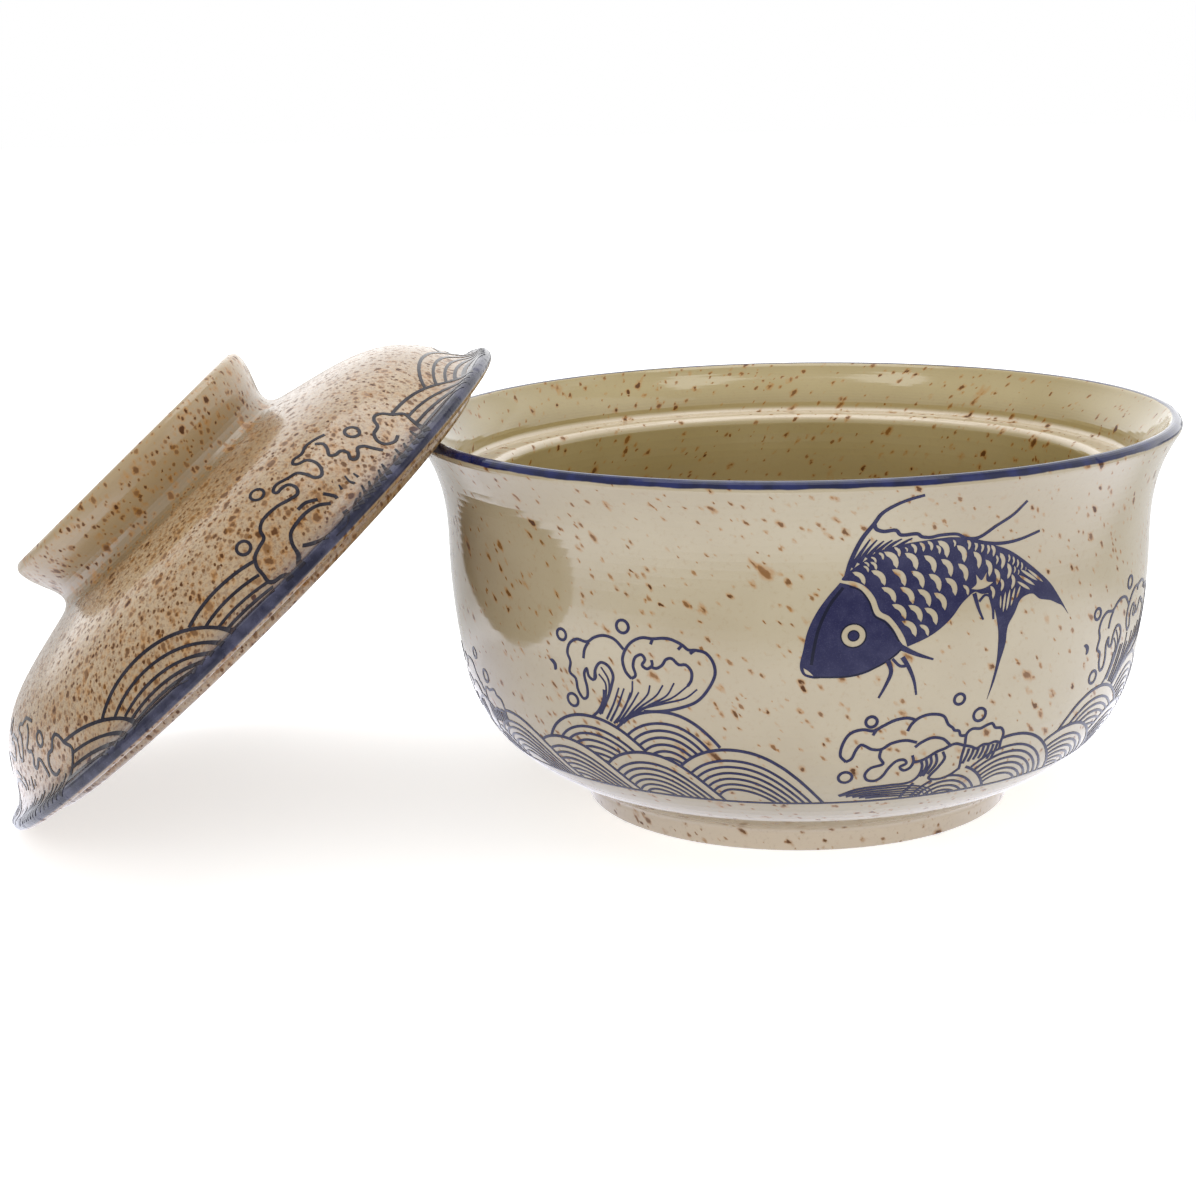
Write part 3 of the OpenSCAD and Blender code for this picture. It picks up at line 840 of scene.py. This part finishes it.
def scales(outline, middle, bare, full_size, rows):
    """Crescents in staggered rows along the middle line, clear of the outline and of bare places."""
    line = through(middle)
    far = np.concatenate([[0], np.cumsum(np.linalg.norm(np.diff(line, axis=0), axis=1))])
    kept = []
    along, column = FIRST_SCALE, 0
    while along < far[-1]:
        share = along / far[-1]
        size = full_size * (1 - TAIL_TAPER * max(0, share - 0.5) / 0.5)
        here = np.array([np.interp(along, far, line[:, i]) for i in (0, 1)])
        ahead = np.array([np.interp(along + 1, far, line[:, i]) for i in (0, 1)]) - here
        heading = math.atan2(ahead[1], ahead[0])
        row_step = SCALE_ROW * size / SCALE_SIZE
        for row in range(-rows, rows + 1):
            across = (row + 0.5 * (column % 2 and rows > 0)) * row_step
            if abs(across) > BODY_HALF - HALF_TAPER * share:
                continue
            centre = here + across * np.array([-math.sin(heading), math.cos(heading)])
            for part in SCALE_PARTS:
                shape = crescent(centre, TILT_SHARE * heading + TILT, size * part)
                room = min(clear(shape, other) for other in [outline] + bare + kept)
                if room > SCALE_GAP and all(inside(p, outline) for p in shape) and not any(
                        inside(p, other) for other in bare for p in shape):
                    kept.append(shape)
                    break
        along += SCALE_STEP * size / SCALE_SIZE
        column += 1
    return kept


def slot(start, end, width):
    """A bare sliver between two points, pointed at its ends."""
    start, end = np.array(start, float), np.array(end, float)
    side = np.array([start[1] - end[1], end[0] - start[0]]) / np.linalg.norm(end - start) * width / 2
    share = np.linspace(0, 1, 7)[:, None]
    swell = np.sin(np.pi * share) ** 0.6
    middle = start + share * (end - start)
    return np.vstack([middle + swell * side, (middle - swell * side)[-2:0:-1]])


body_outline = smooth_loop(CARP_BODY)
fin_slots = [slot(*s) for s in (
    ((45.6, 69.6), (50.2, 66.6), 0.6), ((45.4, 68.4), (49.6, 65.7), 0.6), ((45, 67.2), (48.4, 65), 0.6),
    ((47.4, 69.4), (51.8, 66), 0.5), ((44.6, 66.2), (43.6, 62.2), 0.6), ((43.4, 66), (42.6, 61.4), 0.6),
    ((42.3, 65.6), (41.8, 61.2), 0.55), ((41.2, 65), (41.2, 62), 0.45), ((45.9, 66.3), (44.9, 63.6), 0.5))]
fin_flame = smooth_loop([(34.5, 67), (34.5, 67), (35.6, 67.9), (35.4, 69.9), (35.4, 69.9), (36.7, 68.5),
                         (37.8, 70.1), (37.8, 70.1), (37.9, 68.2), (39.4, 67.8), (39.4, 67.8), (37.7, 66.9),
                         (36, 66.7)])
bare_fins = fin_slots + [fin_flame]
carp_scales = scales(body_outline, BODY_LINE, bare_fins, SCALE_SIZE, 4)
for back_line in BACK_LINES:
    carp_scales += scales(body_outline, back_line, bare_fins + carp_scales, BACK_SCALE, 0)
mouth = smooth_loop([(1.5, 53), (1.5, 53), (1.9, 51.8), (3.4, 51.3), (3.4, 51.3), (2.6, 52.2)])
carp_fills = [smooth_loop(CARP_HEAD), ring(EYE, EYE_RING, 28), ring(EYE, PUPIL), mouth, body_outline]
carp_fills += carp_scales + fin_slots + [fin_flame]
carp_strokes = [(smooth(points), start, end) for points, start, end in (
    ([(9.6, 71.4), (10.4, 74.6), (12.3, 79.2), (14.3, 82.4), (15.6, 84.8), (18.1, 86.8), (20.4, 87.9),
      (22.8, 88.7)],
     0.45, 0.34),
    ([(14.3, 82.5), (14.8, 81.2), (16.2, 80.6), (18.5, 80.7), (19.5, 79.6), (22.7, 79.6), (23.6, 78.9),
      (25.4, 78.6), (27.2, 78.9), (30.6, 78.8), (32.2, 77.9)], 0.4, 0.3),
    ([(31.5, 77.9), (35.1, 77.5), (39, 79.8), (42.2, 81.8), (44.5, 84.6)], 0.36, 0.3),
    ([(34.4, 77), (37, 76.2), (40.4, 75.7), (44.4, 75.9), (49.5, 77.1)], 0.4, 0.26),
    ([(17.7, 54), (18.4, 51.5), (17.5, 48.9), (16.1, 46.1)], 0.5, 0.2),
    ([(20.6, 54.4), (22, 52), (23.1, 49.2), (23.7, 46.2)], 0.5, 0.2),
    ([(20.4, 56.4), (23.4, 54.8), (26.9, 53.4)], 0.6, 0.2),
    ([(18.6, 54.2), (20.2, 52.6), (21.8, 52.6)], 0.3, 0.3),
    ([(35.2, 66), (36.2, 62.8), (37.3, 60.4)], 0.45, 0.18),
    ([(38.6, 65.6), (39.4, 62.6), (39.6, 60.2)], 0.4, 0.2),
    ([(36.3, 64.2), (37.6, 65.4), (38.8, 65)], 0.25, 0.25),
    ([(10.5, 73.2), (12.2, 76.2), (13.8, 79)], 0.5, 0.12),
    ([(11.9, 74), (13.4, 76.6), (15.1, 78.8)], 0.5, 0.12),
    ([(13.4, 75), (14.8, 76.9), (16.4, 78.5)], 0.5, 0.12),
    ([(15, 76), (16.4, 77.4), (18, 78.6)], 0.45, 0.12),
    ([(16.9, 76.6), (18.2, 77.8), (19.8, 78.7)], 0.45, 0.12),
    ([(19, 77), (20.4, 78), (21.8, 78.7)], 0.4, 0.12))]
deep_strokes = [(smooth(points), start, end) for points, start, end in (
    ([(9, 69.2), (6.4, 65.6), (4.4, 61), (3.4, 56.4), (3, 53.6)], 0.3, 0.3),
    ([(3.4, 51), (10, 51), (13.6, 51.9), (17.4, 53.7), (20.3, 56)], 0.16, 0.16),
    ([(10.2, 69.4), (12.2, 68.5), (13.9, 66.2), (15, 63.2), (17, 61.9), (18.6, 59.9), (19.8, 57.7)], 0.16,
     0.16))]
deep_loops = [(ring(EYE, EYE_SEAM, 28), 0.14), (ring(EYE, PUPIL), 0.12)]
print(len(carp_scales), "scales on the carp")

# %% Waves on the lid
LID_UNIT = 113.1
LID_GAPS = (0, 3.2, 5.8, 8.0, 10.0, 11.6)
LID_MOUNDS = [(-41, 11.9, 22, 22.5, 11.9), (-12, 14.6, 22, 21, 14.6), (11.5, 13.2, 20, 22, 13.2)]
LID_GROUND = 1.3
LID_LINES = (0.38, 0.34)
LID_BUBBLE, LID_CREST_LINE = LINE + 0.06, LINE + 0.08
LID_HAIR_LINE = (0.16, 0.32)
foam_cover = np.array([(20.2, 0), (20.5, 8), (21, 10.5), (24, 13), (27.3, 15.5), (31, 17), (46, 22.3),
                       (57, 21), (66, 15), (70.3, 11.8), (72.2, 9.7), (71.5, 8), (70.3, 6), (69, 4),
                       (67, 1.5), (66, 0)])
lid_covers = [foam_cover, foam_cover - [LID_UNIT, 0]]
lid_loops = [(ring(*bubble), LID_BUBBLE)
             for bubble in (((22, 15.6), 1.6), ((34, 23), 1.7), ((60.4, 16), 1.6))]
lid_crest = [
    [(23.4, 0.9), (23.6, 3), (22.8, 4.6), (21.2, 5), (20.3, 6.2), (20.6, 8.2), (20.9, 10.4), (22.2, 12.3),
     (24.2, 13.1), (26.5, 13.8), (27.3, 15.6), (29, 16.8), (31.4, 17.1), (34.4, 16.7), (37, 15.8),
     (39.2, 15.4), (40.3, 16.8), (39.9, 18.6), (38.2, 19.2), (36.8, 19.2), (36.6, 20.2), (38.4, 20.9),
     (41.5, 19.8), (43.6, 19), (44.4, 17), (44.7, 15), (46, 14.3), (47.5, 15.5), (48.3, 17.6), (47.8, 19.6),
     (46, 20.6), (45.5, 21.6), (46.8, 22.3), (49, 21.8), (52, 22.5), (54.5, 21.9), (57, 20.8)],
    [(53.2, 21), (54, 19.4), (53, 17.6), (51.6, 16.2), (52.4, 15.2), (54, 14.9), (54.4, 13.4), (53.3, 12),
     (54, 11.1), (55.4, 11.5), (56.8, 12.5), (58, 11.8), (58.6, 10.2), (59.4, 7.9)],
    [(65, 7.6), (63, 7.2), (61.3, 8.4), (61.1, 10.2), (62.5, 11.9), (65, 12.4), (66.4, 14), (68, 14.5),
     (69.5, 13.5), (70.4, 11.8), (72.3, 9.8), (71.5, 8), (70.3, 6), (69, 4), (66.6, 0.9)],
    [(26.8, 0.9), (27, 3.4), (28.4, 5.6), (29.4, 8.4), (31, 10.3), (34, 11), (37, 11), (39.6, 10.2),
     (41.5, 8.5)],
    [(36.1, 12.8), (38.4, 12.6), (40.6, 11.2)], [(42.4, 11.2), (43.4, 9), (43.2, 8.2)],
    [(30.4, 6.4), (32.6, 4), (34.6, 1.4)], [(41.4, 4.6), (40.4, 2.4), (38.6, 1.1), (35.4, 1)]]
lid_hair = [[(u + 3.2, 5.2 + 0.8 * math.sin(u)), (u + 1.4, 3.2), (u, 0.9)]
            for u in (42, 43.6, 45.4, 47, 48.8, 50.6, 52.4, 55.5, 57.6, 59.8, 62.2, 64.2)]
lid_hair += [[(48.8, 10.4), (48.2, 8.8), (48.4, 7.6)], [(46.2, 10), (45.6, 8.8)], [(50.4, 9.4), (50.2, 8)]]
lid_strokes = mound_strokes(LID_MOUNDS, LID_GAPS, (FULL, FULL), LID_UNIT, LID_GROUND, lid_covers,
                            LID_LINES)
lid_strokes += brushed(lid_crest, LID_CREST_LINE)
lid_strokes += brushed(lid_hair, *LID_HAIR_LINE)
print(len(lid_strokes), "strokes in one unit of the lid's waves")

# %% [markdown]
# A node tree lays the flat drawing on the ware. Each stroke gets a flat ribbon with the width of
# its points, and each closed outline is filled. Then every point is moved: its v is looked up
# along a curve of the ware's outside, which gives a radius and a height there, and its u
# becomes an angle. The upper side of the ink lies a few hundredths of a millimetre proud and
# the lower side is sunk in the glaze, so every stroke is a closed solid. Strokes that cross lie a
# few thousandths apart, in layers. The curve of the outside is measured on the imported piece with
# rays.

# %% Measuring the outside of a piece
RAY_TURNS = [0.13 + 0.55 * i for i in range(11)]


def farthest_hit(tree, place, start, heading):
    """The first hit of a ray on the piece, over several turns about the axis: the outermost one."""
    hits = []
    for turn in RAY_TURNS:
        spin = place @ Matrix.Rotation(turn, 4, "Z")
        hit = tree.ray_cast(spin @ Vector(start), spin.to_3x3() @ Vector(heading))
        if hit[0]:
            hits.append(hit[3])
    return min(hits)


def profile_curve(name, points):
    """A curve object through (radius, height) points."""
    curve = bpy.data.curves.new(name, "CURVE")
    curve.dimensions = "3D"
    spline = curve.splines.new("POLY")
    spline.points.add(len(points) - 1)
    for point, (radius, height) in zip(spline.points, points):
        point.co = (radius, 0, height, 1)
    holder = bpy.data.objects.new(name, curve)
    bpy.context.scene.collection.objects.link(holder)
    return holder


def surface_tree(name):
    """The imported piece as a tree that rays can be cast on."""
    return BVHTree.FromObject(bpy.data.objects[name], bpy.context.evaluated_depsgraph_get())


FAR = 0.3
PRINT_START, PRINT_END = 6.64, 86.6
DOME_OUTER, DOME_INNER = 73.4, 46
PROFILE_STEP = 0.5
EDGE_HEIGHTS = (1.65, 2.16, 2.62, 2.98, 3.2)
bowl_tree, lid_tree = surface_tree("bowl"), surface_tree("lid")
bowl_profile = [(FAR - farthest_hit(bowl_tree, Matrix(), (FAR, 0, z * MM), (-1, 0, 0)), z * MM)
                for z in np.arange(PRINT_START, PRINT_END, PROFILE_STEP)]
lid_profile = [(FAR - farthest_hit(lid_tree, lid_frame, (FAR, 0, z * MM), (-1, 0, 0)), z * MM)
               for z in EDGE_HEIGHTS]
lid_profile += [(r * MM, FAR - farthest_hit(lid_tree, lid_frame, (r * MM, 0, FAR), (0, 0, -1)))
                for r in np.arange(DOME_OUTER, DOME_INNER, -PROFILE_STEP)]
print("bowl outside", len(bowl_profile), "points, widest", round(max(r for r, z in bowl_profile) / MM, 2))
print("lid outside", len(lid_profile), "points, highest", round(max(z for r, z in lid_profile) / MM, 2))

# %% Laying a drawing on the ware
LIFT = 0.05
STROKE_LIFT = 0.075
LAYER = 0.004
LAYERS = 6
SINK = 0.12
SHARP_EDGE = 0.5


def add(tree, kind, inputs, **settings):
    """A node with its settings and its inputs."""
    node = tree.nodes.new(kind)
    for title, value in settings.items():
        setattr(node, title, value)
    for title, value in inputs.items():
        link(tree, value, node.inputs[title])
    return node


def new_tree(name, inputs):
    """An empty geometry tree with named inputs, each (name, kind)."""
    tree = bpy.data.node_groups.new(name, "GeometryNodeTree")
    for title, kind in [("Geometry", "Geometry")] + inputs:
        tree.interface.new_socket(title, in_out="INPUT", socket_type="NodeSocket" + kind)
    tree.interface.new_socket("Geometry", in_out="OUTPUT", socket_type="NodeSocketGeometry")
    return tree, tree.nodes.new("NodeGroupInput").outputs, tree.nodes.new("NodeGroupOutput")


def make_wrap():
    """Moves a flat drawing (u, v, above or below) on to a turned surface."""
    tree, i, end = new_tree("wrap_on_ware", [
        ("Profile", "Object"), ("Ware Radius", "Float"), ("Lift", "Float"), ("Sink", "Float")])
    position = tree.nodes.new("GeometryNodeInputPosition").outputs[0]
    flat = add(tree, "ShaderNodeSeparateXYZ", {0: position}).outputs
    outside = add(tree, "GeometryNodeObjectInfo", {"Object": i["Profile"]}).outputs["Geometry"]
    lookup = {"Curves": outside, "Length": flat[1]}
    found = add(tree, "GeometryNodeSampleCurve", lookup, mode="LENGTH").outputs
    at = add(tree, "ShaderNodeSeparateXYZ", {0: found["Position"]}).outputs
    run = add(tree, "ShaderNodeSeparateXYZ", {0: found["Tangent"]}).outputs
    island = tree.nodes.new("GeometryNodeInputMeshIsland").outputs["Island Index"]
    layer = times(tree, math_node(tree, "MODULO", island, LAYERS), LAYER * MM)
    top = plus(tree, plus(tree, i["Lift"], layer), i["Sink"])
    upper = times(tree, top, math_node(tree, "GREATER_THAN", flat[2], 0.0))
    rise = math_node(tree, "SUBTRACT", upper, i["Sink"])
    radius = plus(tree, at[0], times(tree, rise, run[2]))
    height = math_node(tree, "SUBTRACT", at[2], times(tree, rise, run[0]))
    turn = math_node(tree, "DIVIDE", flat[0], i["Ware Radius"])
    x = times(tree, radius, math_node(tree, "SINE", turn))
    y = times(tree, radius, times(tree, math_node(tree, "COSINE", turn), -1.0))
    there = add(tree, "ShaderNodeCombineXYZ", {0: x, 1: y, 2: height}).outputs[0]
    moved = add(tree, "GeometryNodeSetPosition", {"Geometry": i["Geometry"], "Position": there}).outputs[0]
    link(tree, moved, end.inputs[0])
    return tree


def make_print_tree(wrap):
    """Ribbons for strokes, plates for filled outlines, laid on the ware and repeated round it."""
    tree, i, end = new_tree("print_on_ware", [
        ("Strokes", "Object"), ("Fills", "Object"), ("Profile", "Object"), ("Ware Radius", "Float"),
        ("Lift", "Float"), ("Stroke Lift", "Float"), ("Sink", "Float"), ("Copies", "Int"),
        ("Location", "Vector"), ("Rotation", "Vector"), ("Ink", "Material")])
    lines = add(tree, "GeometryNodeObjectInfo", {"Object": i["Strokes"]}).outputs["Geometry"]
    level = add(tree, "GeometryNodeSetCurveNormal", {"Curve": lines}, mode="Z_UP").outputs[0]
    nib = add(tree, "GeometryNodeCurvePrimitiveQuadrilateral", {"Width": 2.0, "Height": 2.0}).outputs[0]
    width = tree.nodes.new("GeometryNodeInputRadius").outputs[0]
    ribbons = add(tree, "GeometryNodeCurveToMesh", {"Curve": level, "Profile Curve": nib, "Scale": width,
                                                    "Fill Caps": True}).outputs[0]
    outlines = add(tree, "GeometryNodeObjectInfo", {"Object": i["Fills"]}).outputs["Geometry"]
    filled = add(tree, "GeometryNodeFillCurve", {"Curve": outlines}, mode="TRIANGLES").outputs[0]
    fine = add(tree, "GeometryNodeSubdivideMesh", {"Mesh": filled, "Level": 2}).outputs[0]
    raised = add(tree, "GeometryNodeExtrudeMesh", {"Mesh": fine, "Offset": (0, 0, 1), "Offset Scale": MM,
                                                   "Individual": False}).outputs["Mesh"]
    under = add(tree, "GeometryNodeFlipFaces", {"Mesh": fine}).outputs[0]
    plates = add(tree, "GeometryNodeJoinGeometry", {})
    link(tree, raised, plates.inputs[0])
    link(tree, under, plates.inputs[0])
    closed = add(tree, "GeometryNodeMergeByDistance",
                 {"Geometry": plates.outputs[0], "Distance": 0.001 * MM})
    both = add(tree, "GeometryNodeJoinGeometry", {})
    for shape, lift in ((ribbons, i["Stroke Lift"]), (closed.outputs[0], i["Lift"])):
        laid = add(tree, "GeometryNodeGroup", {}, node_tree=wrap)
        for title, value in (("Geometry", shape), ("Profile", i["Profile"]),
                             ("Ware Radius", i["Ware Radius"]), ("Lift", lift), ("Sink", i["Sink"])):
            link(tree, value, laid.inputs[title])
        link(tree, laid.outputs[0], both.inputs[0])
    spots = add(tree, "GeometryNodeMeshLine", {"Count": i["Copies"], "Offset": (0, 0, 0)}).outputs[0]
    index = tree.nodes.new("GeometryNodeInputIndex").outputs[0]
    turn = math_node(tree, "DIVIDE", times(tree, index, math.tau), i["Copies"])
    turned = add(tree, "ShaderNodeCombineXYZ", {2: turn}).outputs[0]
    round_ware = add(tree, "GeometryNodeInstanceOnPoints", {"Points": spots, "Instance": both.outputs[0],
                                                            "Rotation": turned}).outputs[0]
    real = add(tree, "GeometryNodeRealizeInstances", {"Geometry": round_ware}).outputs[0]
    placed = add(tree, "GeometryNodeTransform", {"Geometry": real, "Translation": i["Location"],
                                                 "Rotation": i["Rotation"]}).outputs[0]
    soft = add(tree, "GeometryNodeSetShadeSmooth", {"Geometry": placed, "Shade Smooth": True}).outputs[0]
    edge_angle = tree.nodes.new("GeometryNodeInputMeshEdgeAngle").outputs[0]
    flat_edge = math_node(tree, "LESS_THAN", edge_angle, SHARP_EDGE)
    crisp = add(tree, "GeometryNodeSetShadeSmooth", {"Geometry": soft, "Shade Smooth": flat_edge},
                domain="EDGE").outputs[0]
    inked = add(tree, "GeometryNodeSetMaterial", {"Geometry": crisp, "Material": i["Ink"]}).outputs[0]
    link(tree, inked, end.inputs[0])
    return tree


print_tree = make_print_tree(make_wrap())
print("print_on_ware has", len(print_tree.nodes), "nodes")

# %% [markdown]
# One unit of each drawing is repeated round its ware. On the lid the ink pooled towards the edge,
# so the strokes get wider there. The node tree's result is kept as a plain mesh, parented to an
# empty named for its piece.

# %% Prints
POOL_DEPTH = 7.0
LID_POOLED = 1.3
INK_IOR = 1.27


def drawing(name, open_lines, loops, pooled=0.0):
    """A curve object, in metres, from (points, start, end) strokes and (points, width) loops."""
    curve = bpy.data.curves.new(name, "CURVE")
    curve.dimensions = "3D"
    lines = [(points, start, end, False) for points, start, end in open_lines]
    lines += [(points, width, width, True) for points, width in loops]
    for points, start, end, closed in lines:
        spline = curve.splines.new("POLY")
        spline.use_cyclic_u = closed
        spline.points.add(len(points) - 1)
        for k, point in enumerate(points):
            spline.points[k].co = (point[0] * MM, point[1] * MM, 0, 1)
            width = start + (end - start) * k / (len(points) - 1)
            spline.points[k].radius = width * (1 + pooled * max(0, 1 - point[1] / POOL_DEPTH)) * MM
    holder = bpy.data.objects.new(name, curve)
    bpy.context.scene.collection.objects.link(holder)
    return holder


def lay_print(name, body, ink, strokes, loops, fills, profile, ware_radius, copies, place=None, pooled=0.0):
    """Runs the tree, keeps the result as a plain mesh and lets it ride on its body."""
    outlines = [(points, 1) for points in fills]
    helpers = [drawing("strokes", strokes, loops, pooled), drawing("fills", [], outlines),
               profile_curve("outside", profile)]
    place = place or Matrix()
    values = {"Strokes": helpers[0], "Fills": helpers[1], "Profile": helpers[2],
              "Ware Radius": ware_radius * MM, "Lift": LIFT * MM, "Stroke Lift": STROKE_LIFT * MM,
              "Sink": SINK * MM, "Copies": copies,
              "Location": place.translation, "Rotation": place.to_euler(), "Ink": ink}
    host = bpy.data.objects.new("host", bpy.data.meshes.new("host"))
    bpy.context.scene.collection.objects.link(host)
    modifier = host.modifiers.new("print", "NODES")
    modifier.node_group = print_tree
    for socket in print_tree.interface.items_tree:
        if socket.in_out == "INPUT" and socket.name in values:
            modifier[socket.identifier] = values[socket.name]
    graph = bpy.context.evaluated_depsgraph_get()
    piece = bpy.data.objects.new(name, bpy.data.meshes.new_from_object(host.evaluated_get(graph)))
    piece.data.name = name
    for helper in helpers + [host]:
        bpy.data.objects.remove(helper)
    bpy.context.scene.collection.objects.link(piece)
    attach(piece, body)
    print(name, len(piece.data.polygons), "faces")


def make_ink(name, colour, pale):
    """Cobalt ink under a thin glaze: dull seen from the front, and hazed only where it turns away."""
    material, tree, vector = start_glaze(name)
    shader = tree.nodes["Principled BSDF"]
    cloud = noise(tree, vector, 350.0, 3.0)[0]
    grain = noise(tree, vector, 3500.0, 2.0)[0]
    share = plus(tree, times(tree, ramp(tree, cloud, 0.35, 0.75), 0.5),
                 times(tree, ramp(tree, grain, 0.5, 0.75), 0.5))
    link(tree, blend(tree, share, colour, pale), shader.inputs["Base Color"])
    link(tree, plus(tree, 0.12, times(tree, cloud, 0.1)), shader.inputs["Roughness"])
    shader.inputs["IOR"].default_value = INK_IOR
    return material


cobalt_ink = make_ink("cobalt_ink", (0.017, 0.017, 0.066, 1), (0.05, 0.05, 0.112, 1))
deep_ink = make_ink("deep_cobalt_ink", (0.005, 0.006, 0.022, 1), (0.012, 0.013, 0.04, 1))
lid_ink = make_ink("lid_ink", (0.013, 0.011, 0.018, 1), (0.05, 0.046, 0.06, 1))
BOWL_PRINT_RADIUS, LID_PRINT_RADIUS = 76, 72
lid_print_place = lid_frame @ Matrix.Rotation(math.pi, 4, "Z")
lay_print("wave_print", "bowl", cobalt_ink, bowl_strokes, bowl_loops, bowl_blots, bowl_profile,
          BOWL_PRINT_RADIUS, 4)
lay_print("carp_print", "bowl", cobalt_ink, carp_strokes, [], carp_fills, bowl_profile, BOWL_PRINT_RADIUS, 2)
lay_print("carp_seams", "bowl", deep_ink, deep_strokes, deep_loops, [], bowl_profile, BOWL_PRINT_RADIUS, 2)
lay_print("lid_wave_print", "lid", lid_ink, lid_strokes, lid_loops, [], lid_profile, LID_PRINT_RADIUS, 4,
          lid_print_place, pooled=LID_POOLED)
